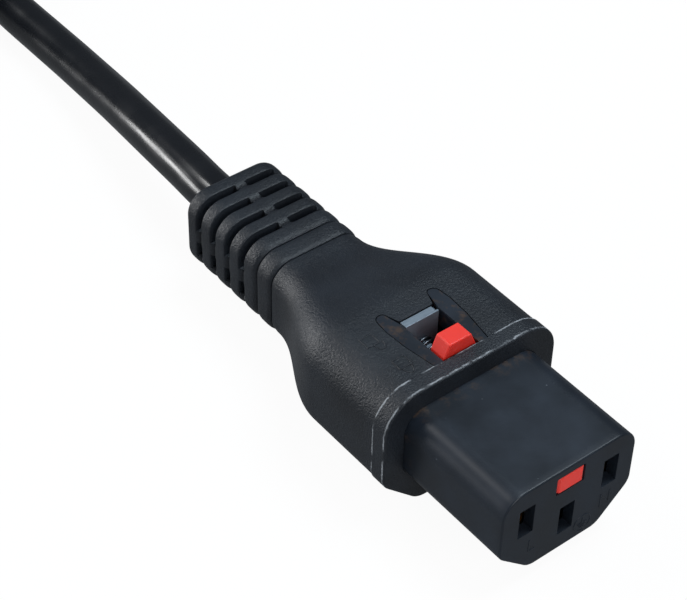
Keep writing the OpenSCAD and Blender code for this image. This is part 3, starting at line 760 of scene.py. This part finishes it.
@dataclass
class Moulding:
    """A moulded end's soft outer part: the front, the grip, the neck and the ribbed strain relief."""

    name: str
    node: str
    datum: Datum
    finish: Finish
    overall_l: float = 71.2
    flange_w: float = 28.5
    flange_h: float = 20.1
    flange_step: float = 0.1
    grip_top_r: float = 5.5
    grip_cut: float = 6.1
    grip_cut_r: float = 3.4
    grip_lift: float = 0.4
    shoulder_at: float = 33.5
    neck_at: float = 50.3
    neck_w: float = 15.2
    neck_h: float = 13.0
    relief_w: float = 15.6
    relief_h: float = 12.9
    relief_r: float = 3.5
    relief_cut: float = 0.63      # legs of a lower corner's cut, as a share of its radius
    relief_lift: float = 0.15
    wide_grow: float = -0.008
    tall_grow: float = 0.015
    rib_pitch: float = 3.36
    end_rib_l: float = 3.1
    rib_groove: float = 0.55
    slot_half: float = 0.65
    slot_depth: float = 2.8
    bore_r: float = 3.45
    insert_l: float = 36.0        # from the mating face to the cavity's end
    cone_l: float = 50.0          # and to where the cone meets the bore
    edge_r: float = 0.3

    # where the slots of one row start and end, along the section from its top centre, to the right
    SLOTS = ((0.9, 5.75), (-11.3, -1.0), (-15.9, -13.6))

    @property
    def ribs(self) -> Points:
        """Where each rib starts, from the cord's end, and where the last one ends."""
        return -self.overall_l + np.concatenate([[0.0], self.end_rib_l + self.rib_pitch * np.arange(6)])

    def relief_sections(self, x: Points) -> KeyedSections:
        """The strain relief's plain sections, before ribs and slots."""
        d = x + self.overall_l
        small = self.relief_r * self.relief_cut
        return KeyedSections.of(len(x), w=self.relief_w + self.wide_grow * d,
                                h=self.relief_h + self.tall_grow * d, top_r=self.relief_r, cut_y=small,
                                cut_z=small, cut_r=self.relief_r, lift=self.relief_lift)

    def relief_rows(self) -> Points:
        """Strain relief with ribs and slots.

        The inset is groove * |2u - 1|^4 across each rib, plus a thin line in the last two grooves.
        Round the four slotted grooves the skin drops by the slots' depth times one factor along x and
        one along the section, each 1 inside a slot and 0 outside, with a small rounded lip.
        """
        near = np.array([0.0, 0.04, 0.1, 0.16, 0.3, 0.45, 0.6, 0.63, 0.65, 0.7, 0.78, 0.95, 1.2])
        starts, ends = self.ribs[:-1], self.ribs[1:]
        spans = [np.concatenate([a + near, [(a + b) / 2], b - near[::-1]])[:-1]
                 for a, b in zip(starts, ends)]
        x = np.concatenate(spans)
        u = np.concatenate([(s - a) / (b - a) for s, a, b in zip(spans, starts, ends)])
        away = np.abs(x[:, None] - self.ribs[None, 1:])
        thin = np.interp(away[:, 4:].min(1), [0.0, 0.08, 0.14], [1.0, 0.8, 0.0])
        groove = self.rib_groove * np.where(x < self.ribs[5], 1.0, 0.7)
        sections = self.relief_sections(x).inset(groove * np.abs(2 * u - 1) ** 4 + 0.3 * thin).points()
        along = np.interp(away[:, :4].min(1), [0.0, self.slot_half - 0.03, self.slot_half, 0.7, 0.78],
                          [1.0, 1.0, 0.04, 0.01, 0.0])
        s = girth(self.relief_sections(np.array([self.ribs[2]])).points()[0])
        half_turn = (s.max() - s.min()) / 2
        inside = np.zeros_like(s)
        for low, high in self.SLOTS:
            for turned in (s, np.where(s > 0, s - half_turn, s + half_turn)):
                depth = np.minimum(turned - low, high - turned)
                inside = np.maximum(inside, np.interp(depth, [-0.2, 0.0, 0.16], [0.0, 0.04, 1.0]))
        drop = self.slot_depth * along[:, None] * inside[None, :]
        return at_x(x, sections - outward(sections) * drop[..., None])

    def grip_sections(self, x: Points) -> KeyedSections:
        """Neck to grip: each size goes from the neck's to the grip's by a level-ended cubic."""
        t = smooth((x + self.neck_at) / (self.neck_at - self.shoulder_at))
        small = self.relief_r * self.relief_cut
        return KeyedSections.of(
            len(x), w=mix(self.neck_w, self.flange_w - 2 * self.flange_step, t),
            h=mix(self.neck_h, self.flange_h - 2 * self.flange_step, t),
            top_r=mix(self.relief_r, self.grip_top_r, t), cut_y=mix(small, self.grip_cut, t),
            cut_z=mix(small, self.grip_cut, t), cut_r=mix(self.relief_r, self.grip_cut_r, t),
            lift=mix(self.relief_lift, self.grip_lift, t))

    def flange_sections(self, rows: int) -> KeyedSections:
        """The flange band's section."""
        return KeyedSections.of(rows, w=self.flange_w, h=self.flange_h, top_r=self.grip_top_r,
                                cut_y=self.grip_cut, cut_z=self.grip_cut, cut_r=self.grip_cut_r,
                                lift=self.grip_lift)

    def front_rows(self, front: float) -> Points:
        """Flange band: a rounded front edge, and torn flash at its rear edge, no higher than the band."""
        back = -NOSE_L - FLANGE_L
        x = back + np.array([-0.12, -0.06, 0.0, 0.07, 0.16, 0.3])
        inset = np.array([self.flange_step, 0.06, 0.02, 0.0, 0.0, 0.0])
        angle = np.linspace(0.0, np.pi / 2, 7)
        run = np.linspace(x[-1], front - self.edge_r, 5)[1:-1]
        x = np.concatenate([x, run, front - self.edge_r * (1 - np.sin(angle))])
        inset = np.concatenate([inset, np.zeros(len(run)), self.edge_r * (1 - np.cos(angle))])
        sections = self.flange_sections(len(x)).inset(inset).points()
        s = girth(sections[5])
        torn = np.exp(-((x - back) / 0.09) ** 2)[:, None] * (0.05 + 0.06 * np.maximum(ripple(s * 1.9), 0.0))
        flash = np.minimum(torn, inset[:, None])
        return at_x(x, sections + outward(sections) * flash[..., None])

    def bore_rows(self, cavity: KeyedSections, front: float) -> Points:
        """The inside: the cavity for the inner moulding, a cone for the cores and the cord's bore."""
        x = np.array([front, front - 4.0, -self.insert_l])
        wide = cavity.points()[[0, 0, 0]]
        bore = round_like(wide[:1], self.bore_r, self.relief_lift)[[0, 0]]
        return np.concatenate([at_x(x, wide), at_x(np.array([-self.cone_l, self.ribs[-1] - 0.05]), bore)])

    def grip_rows(self, cavity: KeyedSections, front: float) -> Points:
        """The grip's skin, out from the last groove along the neck and back along the inside."""
        neck = np.linspace(-self.neck_at, -self.shoulder_at, 40)
        back = -NOSE_L - FLANGE_L
        grip = np.concatenate([neck, np.linspace(-self.shoulder_at, back - 0.3, 8)[1:]])
        first = self.grip_sections(np.array([-self.neck_at])).inset(np.array([0.6])).points()
        second = self.grip_sections(np.array([-self.neck_at])).inset(np.array([0.12])).points()
        outside = [at_x(self.ribs[-1:] - 0.05, first), at_x(self.ribs[-1:] + 0.12, second),
                   at_x(grip, self.grip_sections(grip).points())]
        return np.concatenate(outside + [self.front_rows(front), self.bore_rows(cavity, front)])

    def relief_skin(self) -> Points:
        """The strain relief's skin, out along its ribs and back along its bore."""
        outside = self.relief_rows()
        bore = round_like(outside[:1, :, 1:], self.bore_r, self.relief_lift)[[0, 0]]
        return np.concatenate([outside, at_x(self.ribs[[-1, 0]], bore)])

    def build(self, cavity: KeyedSections, front: float, cutters: Sequence[Piece]) -> Piece:
        """Make the moulding's piece."""
        grip = grid_piece("grip", self.grip_rows(cavity, front), loop=True)
        if cutters:
            carve(grip, cutters)
        piece = join(self.name, [grip, grid_piece("relief", self.relief_skin(), loop=True)])
        shade_smooth(piece)
        self.datum.set(piece)
        settle(piece, self.finish, replaces=[self.node])
        return piece


def nose_sections(rows: int, grow: float = 0.0, w: float = NOSE_W, h: float = NOSE_H) -> KeyedSections:
    """The nose's section, grown all round by grow."""
    plain = KeyedSections.of(rows, w=w, h=h, top_r=3.3, cut_y=5.3, cut_z=5.0, cut_r=2.6, lift=0.0)
    return plain.inset(-grow) if grow else plain


@dataclass
class Window:
    """The window in the grip and the two rails of the inner moulding beside it."""

    half_w: float = 2.95
    rear: float = 30.0
    front: float = 21.0
    rail_rear: float = 32.4
    rail_foot: float = 6.9
    top: float = 10.35
    fit: float = 0.11

    def rail_outline(self, side: int) -> Points:
        """Plan (x, y) of one rail, rounded at its rear and bulging outwards in the middle."""
        w = self.half_w
        corners = [(-self.front, w), (-self.front, w + 1.4), (-26.1, w + 2.2), (-29.7, w + 2.4),
                   (-self.rail_rear, w + 2.1), (-self.rail_rear, w + 0.7), (-29.2, w)]
        plan = rounded_outline(corners, (0.05, 0.05, 4.0, 4.0, 0.9, 0.6, 4.0), 10)
        return plan * np.array([1.0, side])

    def opening_outline(self) -> Points:
        """Plan (x, y) of everything that the grip leaves open: the window and both rails with their fit."""
        w, g = self.half_w, self.fit
        right = [(-self.front + 0.02, w + 1.4 + g), (-26.1, w + 2.2 + g), (-29.7, w + 2.4 + g),
                 (-self.rail_rear - g, w + 2.1 + g), (-self.rail_rear - g, w + 0.7),
                 (-self.rear - 0.05, w - 0.15)]
        corners = right + [(x, -y) for x, y in right[::-1]]
        radii = [0.01, 4.0, 4.0, 1.0, 0.6, 0.3]
        return rounded_outline(corners, radii + radii[::-1], 10)


@dataclass
class Marks:
    """Raised line signs: L, N and the earth sign in the face, an open and a closed padlock on the grip."""

    datum: Datum
    grip_top: float = 10.35
    line_r: float = 0.14

    def strokes(self, lines: Sequence[Points]) -> list[Piece]:
        """One thin round bead along each line, half sunk in the surface."""
        bead = ring_profile(self.line_r, 8)
        return [grid_piece("stroke", sweep(line, bead), caps=True) for line in lines]

    def arc(self, middle: Sequence[float], size: Sequence[float], start: float, end: float) -> Points:
        """Points (a, b) of a stretched arc between two angles in degrees."""
        a = np.radians(np.linspace(start, end, 24))
        return np.stack([middle[0] + size[0] * np.cos(a), middle[1] + size[1] * np.sin(a)], -1)

    def face_lines(self) -> list[Points]:
        """Lines (y, z) of N, L and the earth sign in its ring."""
        middle = np.array([3.15, -5.25])
        bars = [np.array([[-w, z], [w, z]]) + middle for w, z in ((0.75, 0.0), (0.5, -0.35), (0.25, -0.7))]
        n = np.array([[6.0, -4.2], [6.0, -1.95], [7.5, -4.2], [7.5, -1.95]])
        ell = np.array([[-6.1, -2.2], [-6.1, -4.2], [-5.1, -4.2]])
        stem = np.array([[0.0, 0.8], [0.0, 0.0]]) + middle
        straight = [n[i:i + 2] for i in range(3)] + [ell[:2], ell[1:], stem] + bars
        return [self.arc(middle, (1.4, 1.4), 0, 360)] + straight

    def grip_lines(self) -> list[Points]:
        """Lines (x, y) of the two padlocks: a body, and a shackle that meets it or stands open."""
        lines = []
        for x, y, shift in ((-25.0, -7.25, 0.0), (-30.4, -8.1, 0.65)):
            body = np.array([[0, -0.95], [0, 0.95], [1.8, 0.95], [1.8, -0.95], [0, -0.95]]) + (x, y)
            lines += [body[i:i + 2] for i in range(4)]
            lines.append(self.arc((x + 1.8, y + shift), (1.25, 0.72), -90, 90))
        return lines

    def build(self, grip: Finish) -> None:
        """Make the marks."""
        face = [np.insert(line, 0, -0.06, axis=1) for line in self.face_lines()]
        top = [np.insert(line, 2, self.grip_top - 0.02, axis=1) for line in self.grip_lines()]
        for name, lines, finish in (("face_marks", face, NYLON), ("padlock_marks", top, grip)):
            piece = join(name, self.strokes(lines))
            shade_smooth(piece, 60)
            self.datum.set(piece)
            settle(piece, finish)


@dataclass
class Connector:
    """The C13 end: its nose, slider, bracket and spring, and the moulding round them."""

    datum: Datum
    window: Window = field(default_factory=Window)
    half_pitch: float = 7.0
    line_z: float = 1.9
    earth_z: float = -2.1
    slot_w: float = 2.5
    slot_h: float = 4.9
    face_wall: float = 1.7
    edge_r: float = 0.28
    fit: float = 0.06             # between the nose and the grip round it
    channel: tuple[float, float, float] = (2.35, 3.35, 6.3)   # half width, floor and roof
    wire_r: float = 0.22
    turns: float = 6.5

    def nose(self) -> Piece:
        """Nose and inner moulding: the keyed section drawn back, with a quarter circle at its front edge."""
        angle = np.linspace(np.pi / 2, 0.0, 7)
        x = np.concatenate([-self.edge_r * (1 - np.sin(angle)), [-1.2, -6.0, -12.0, -18.4, -24.0, -36.0]])
        inset = np.concatenate([self.edge_r * (1 - np.cos(angle)), np.zeros(6)])
        body = grid_piece("nose", at_x(x, nose_sections(len(x)).inset(inset).points()), caps=True)
        carve(body, self.nose_cutters())
        rails = [prism("rail", self.window.rail_outline(side), (self.window.rail_foot, self.window.top), 2)
                 for side in (1, -1)]
        for rail in rails:
            soften(rail, 0.12, 2)
            apply_modifiers(rail)
        piece = join("nose_moulding", [body] + rails)
        shade_smooth(piece)
        self.datum.set(piece)
        settle(piece, NYLON, replaces=["nose_insert"])
        return piece

    def nose_cutters(self) -> list[Piece]:
        """The slots, the contacts' rooms, the slider's channel and the shaft under the window."""
        cutters = []
        for y, z in ((-self.half_pitch, self.line_z), (self.half_pitch, self.line_z), (0.0, self.earth_z)):
            w, h = self.slot_w / 2, self.slot_h / 2
            corners = [(y - w, z - h), (y + w, z - h), (y + w, z + h), (y - w, z + h)]
            cutters.append(prism("slot", rounded_outline(corners, (0.15,) * 4, 3), (-3.0, 1.0), 0))
            cutters.append(block("room", (-30.0, y - 1.85, z - 3.0), (-self.face_wall, y + 1.85, z + 3.0)))
        half, floor, roof = self.channel
        corners = [(-half, floor), (half, floor), (half, roof), (-half, roof)]
        cutters.append(prism("channel", rounded_outline(corners, (0.2,) * 4, 3), (-22.0, 1.0), 0))
        w = self.window
        cutters.append(block("shaft", (-w.rear, -w.half_w, floor), (-w.front, w.half_w, 12.0)))
        cutters.append(block("plate_room", (-7.1, -2.85, -5.6), (-2.0, 2.85, floor + 0.05)))
        return cutters

    def moving_pieces(self) -> None:
        """Slider, bracket and lock plate: their CAD shapes with rounded edges."""
        parts = (("release_slider", RED, "slider", 0.16), ("stop_bracket", STEEL, "root", 0.1),
                 ("lock_plate", LOCK_STEEL, "lock", 0.08))
        for node, finish, body, width in parts:
            piece = cad_copy(node + "_finished", node)
            soften(piece, width)
            settle(piece, finish, body, [node])

    def spring(self) -> None:
        """Coil spring: the wire's circle carried along a helix whose first and last turns lie close.

        The helix has radius r round the slider's axis, and its place along x follows the share of the
        turns by a line that is flatter over the end turns.
        """
        low, high = (np.array(c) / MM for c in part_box("slider_spring"))
        wire = self.wire_r
        radius = (high[1] - low[1]) / 2 - wire
        middle = (high[2] + low[2]) / 2
        t = np.linspace(0.0, 1.0, int(self.turns * 28))
        a = t * self.turns * 2 * np.pi
        ends = [low[0] + wire, low[0] + 3.4 * wire, high[0] - 3.4 * wire, high[0] - wire]
        x = np.interp(t, [0.0, 0.14, 0.86, 1.0], ends)
        line = np.stack([x, radius * np.cos(a), middle + radius * np.sin(a)], -1)
        piece = grid_piece("spring_coil", sweep(line, ring_profile(wire, 10)), caps=True)
        shade_smooth(piece, 60)
        settle(piece, SPRING, replaces=["slider_spring"])
        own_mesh(piece)

    def build(self) -> None:
        """Make the whole connector."""
        self.nose()
        # the flange's rear and front edges, where the grip's finish paints a highlight in broken pale lines
        # together with torn flash
        edges = tuple(self.datum.origin[0] - back for back in (NOSE_L + FLANGE_L, NOSE_L + 0.32))
        pvc = SparkErodedPvc(edges=edges)
        opening = prism("opening", self.window.opening_outline(), (5.5, 13.0), 2)
        grip = Moulding("grip_moulding", "outer_shell", self.datum, pvc)
        grip.build(nose_sections(1, self.fit), -NOSE_L, [opening])
        Marks(self.datum).build(pvc)
        self.moving_pieces()
        self.spring()
        for side in ("live", "neutral", "earth"):
            BRASS.dress(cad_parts[side + "_contact"])
        NYLON.dress(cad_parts["contact_carrier"])


@dataclass
class Plug:
    """The C14 end: a moulding open at its front over a floor with three pins."""

    datum: Datum
    recess_w: float = 22.8
    recess_h: float = 15.6
    softened: tuple[tuple[str, Finish, float], ...] = (
        ("plug_insert", NYLON, 0.12), ("plug_live_pin", PIN, 0.1), ("plug_neutral_pin", PIN, 0.1),
        ("plug_earth_pin", PIN, 0.1))

    def build(self) -> list[Piece]:
        """Make the plug's moulding and finish its pins and floor.

        Returns:
            The plug's own pieces, which lie on the cord's far end.
        """
        pvc = SparkErodedPvc("spark_eroded_plug_pvc")
        recess = nose_sections(1, 0.0, self.recess_w, self.recess_h)
        pieces = [Moulding("plug_moulding", "plug_shell", self.datum, pvc).build(recess, 0.0, [])]
        for node, finish, width in self.softened:
            piece = cad_copy(node + "_finished", node)
            soften(piece, width, 2)
            settle(piece, finish, replaces=[node])
            pieces.append(piece)
        return pieces


def dress_cores() -> None:
    """Finish the cores and their stripped strands at both ends of the cord."""
    for end in ("", "plug_"):
        for side, finish in (("live", LIVE_CORE), ("neutral", NEUTRAL_CORE), ("earth", EARTH_CORE)):
            finish.dress(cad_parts[f"{end}{side}_core"])
            COPPER.dress(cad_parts[f"{end}{side}_strands"])
    for sheath in ("cord_sheath", "plug_sheath"):
        CABLE.dress(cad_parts[sheath])


# ---- Cord ----------------------------------------------------------------------------------------


@dataclass
class Cord:
    """The free cord, from the connector's strain relief through the tied hank to the plug's."""

    diameter: float = 6.8
    hank_from: float = -138.0
    hank_run: float = 70.0
    hank_r: float = 20.4
    hank_low: float = 0.8
    hank_side: float = 5.3
    layers: int = 4
    lead: tuple[tuple[float, float, float], ...] = (
        (-35.6, 0, 9.8), (-41, 0, 9.8), (-47, 0.5, 9.5), (-55, 1.3, 8.7), (-63, 2.3, 7.6), (-71, 3.4, 6.3),
        (-79, 4.3, 5.1), (-87, 4.9, 4.3), (-95, 5.2, 3.8), (-104, 5.3, 3.6), (-114, 5.3, 3.8),
        (-125, 5.3, 4.2), (-138, 5.3, 4.2))
    tail: tuple[tuple[float, float, float], ...] = (
        (-208, 5.3, 24.6), (-214, 5.3, 24.6), (-220, 5.2, 24.5), (-227, 4.8, 23.8), (-234, 3.9, 22),
        (-241, 2.6, 19.2), (-248, 1.2, 16), (-255, -0.2, 13.1), (-262, -1.2, 11), (-269, -1.8, 10),
        (-274, -2, 9.8), (-278, -2, 9.8))

    def fold(self, x: float, z: float, way: int) -> Points:
        """Half a circle at one end of the hank, behind it for way -1 and in front of it for way 1."""
        a = np.linspace(0.0, np.pi, 16)[1:-1]
        y = self.hank_side - self.hank_r - way * self.hank_r * np.cos(a)
        return np.stack([x + way * self.hank_r * np.sin(a), y, np.full_like(a, z)], -1)

    def route(self) -> Points:
        """Points of the whole route: runs on one side, climbs of one layer on the other, folds between."""
        back = self.hank_from - self.hank_run
        far_side = self.hank_side - 2 * self.hank_r
        climb = np.linspace(0.0, 1.0, 8)
        parts = [np.array(self.lead, float)]
        for layer in range(self.layers):
            z = self.hank_low + self.diameter * (layer + 0.5)
            run = np.linspace(self.hank_from, back, 8)
            parts.append(np.stack([run, np.full(8, self.hank_side), np.full(8, z)], -1)[1:])
            if layer == self.layers - 1:
                break
            parts.append(self.fold(back, z, -1))
            x = mix(back, self.hank_from, climb)
            parts.append(np.stack([x, np.full(8, far_side), z + self.diameter * climb], -1))
            parts.append(self.fold(self.hank_from, z + self.diameter, 1))
            parts.append(np.array([[self.hank_from, self.hank_side, z + self.diameter]]))
        return np.concatenate(parts + [np.array(self.tail, float)[1:]])

    def straps(self) -> list[Piece]:
        """The two straps round the hank: their CAD shapes with rounded edges."""
        pieces = []
        for node in ("run_strap", "climb_strap"):
            piece = cad_copy(node + "_finished", node)
            soften(piece, 0.3, 3)
            settle(piece, TAPE, replaces=[node])
            pieces.append(piece)
        return pieces

    def build(self, plug: Sequence[Piece]) -> Piece:
        """Args:
            plug: the finished pieces of the plug on its far end; not used beyond a list that nothing keeps.
        """
        line = spline(self.route(), 1.6)
        piece = grid_piece("cord", sweep(line, ring_profile(self.diameter / 2, 28)), caps=True)
        shade_smooth(piece, 60)
        settle(piece, CABLE, replaces=["cord_lead", "cord_hank", "cord_tail"])
        finished = ["plug_shell"] + [node for node, _, _ in Plug.softened]
        kept = [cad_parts[n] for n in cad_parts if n.startswith("plug_") and n not in finished]
        list(plug) + kept + self.straps()
        return piece


# ---- Camera, floor and light ---------------------------------------------------------------------


def make_camera() -> None:
    """The view: high over the neutral side's far end, looking back along the nose, with a long lens."""
    right = Vector((0.61694, 0.78679, 0.01875))
    ahead = Vector((-0.57071, 0.46365, -0.67773))
    up = right.cross(ahead).normalized()
    data = bpy.data.cameras.new("camera")
    data.lens, data.sensor_width = 104.8, 36.0
    data.clip_start, data.clip_end = 0.01, 10.0
    camera = bpy.data.objects.new("camera", data)
    turn = Matrix((right, up, -ahead)).transposed().to_4x4()
    camera.matrix_world = Matrix.Translation((0.14587, -0.12608, 0.19552)) @ turn
    bpy.context.scene.collection.objects.link(camera)
    bpy.context.scene.camera = camera


def seen_as(tree: Tree, kind: str, lit: Socket, white: float,
            mirrored: float) -> Socket:
    """A surrounding that the camera and glass see as white and shine sees as grey, lit as usual otherwise.

    Args:
        tree: the node tree.
        kind: type of the shader that gives off the white and the grey.
        lit: what all other rays see.
        white: share of white that the camera sees.
        mirrored: brightness that reflections see.

    Returns:
        The mixed shader.
    """
    add = partial(add_node, tree)
    rays = ("Is Camera Ray", "Is Transmission Ray", "Is Glossy Ray")
    seen, through, shine = (add("LightPath", out=ray) for ray in rays)
    straight = add("Math", (seen, through), operation="MAXIMUM")
    full = add(kind, {"Color": (1, 1, 1, 1), "Strength": 1.0})
    grey = add(kind, {"Color": (0.9, 0.95, 1, 1), "Strength": mirrored})
    first = add("MixShader", (shine, lit, grey))
    return add("MixShader", (add("Math", (straight, white), operation="MULTIPLY"), first, full))


def make_surroundings() -> None:
    """A pale floor, 2.6 m to each side, and a white backdrop from the world."""
    world = bpy.data.worlds.new("studio")
    bpy.context.scene.world = world
    world.use_nodes = True
    tree = world.node_tree
    tree.nodes.clear()
    dim = add_node(tree, "Background", {"Color": (0.93, 0.96, 1, 1), "Strength": 0.3})
    sky = seen_as(tree, "Background", dim, 1.0, 0.07)
    fill(tree, tree.nodes.new("ShaderNodeOutputWorld"), {"Surface": sky})
    half = 2600
    corners = np.array([[-half, -half, 0], [half, -half, 0], [half, half, 0], [-half, half, 0]])
    floor = new_piece("floor", corners, [[0, 1, 2, 3]])
    pale = bpy.data.materials.new("pale_card")
    pale.use_nodes = True
    tree = pale.node_tree
    tree.nodes.clear()
    card = add_node(tree, "BsdfDiffuse", {"Color": (0.8, 0.8, 0.8, 1)})
    seen = seen_as(tree, "Emission", card, 0.95, 0.22)
    fill(tree, tree.nodes.new("ShaderNodeOutputMaterial"), {"Surface": seen})
    floor.data.materials.append(pale)


def soft_box(name: str, at: Sequence[float], aim: Sequence[float], size: tuple[float, float], watts: float,
             colour: tuple[float, float, float] = (1.0, 1.0, 1.0)) -> None:
    """A rectangular lamp at a place in metres, turned towards its aim."""
    lamp = bpy.data.lights.new(name, "AREA")
    lamp.shape, lamp.size, lamp.size_y, lamp.energy, lamp.color = "RECTANGLE", *size, watts, colour
    light = bpy.data.objects.new(name, lamp)
    ahead = Vector(aim) - Vector(at)
    light.matrix_world = Matrix.Translation(at) @ ahead.to_track_quat("-Z", "Y").to_matrix().to_4x4()
    bpy.context.scene.collection.objects.link(light)


def make_lights() -> None:
    """Soft boxes: one overhead, two behind on the live side, high and low, and one ahead of the face."""
    soft_box("overhead", (0.05, 0.25, 0.75), (0, 0, 0), (0.35, 0.35), 5.0, (0.8, 0.92, 1.0))
    soft_box("live_side_high", (-0.46, -0.28, 0.55), (-0.02, 0, 0.01), (0.28, 0.09), 1.2)
    soft_box("live_side_low", (-0.62, -0.36, 0.1), (-0.02, 0, 0.01), (0.5, 0.1), 3.4)
    soft_box("ahead", (0.6, -0.1, 0.4), (0, 0, 0.01), (0.3, 0.3), 1.6)


def main() -> None:
    """Build the scene in order."""
    logging.basicConfig(level=logging.INFO, format="%(name)s: %(message)s")
    make_camera()
    nose_low, nose_high = (np.array(c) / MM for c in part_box("nose_insert"))
    plug_low, plug_high = (np.array(c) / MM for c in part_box("plug_shell"))
    axis_z = float(nose_low[2]) + NOSE_H / 2
    plug_at = (float(plug_low[0]), float(plug_low[1] + plug_high[1]) / 2, axis_z)
    plug = Plug(Datum(plug_at, turned=True)).build()
    Cord().build(plug)
    Connector(Datum((float(nose_high[0]), 0.0, axis_z))).build()
    dress_cores()
    make_surroundings()
    make_lights()
    bpy.context.scene.view_settings.view_transform = "Standard"


if __name__ == "__main__":
    main()
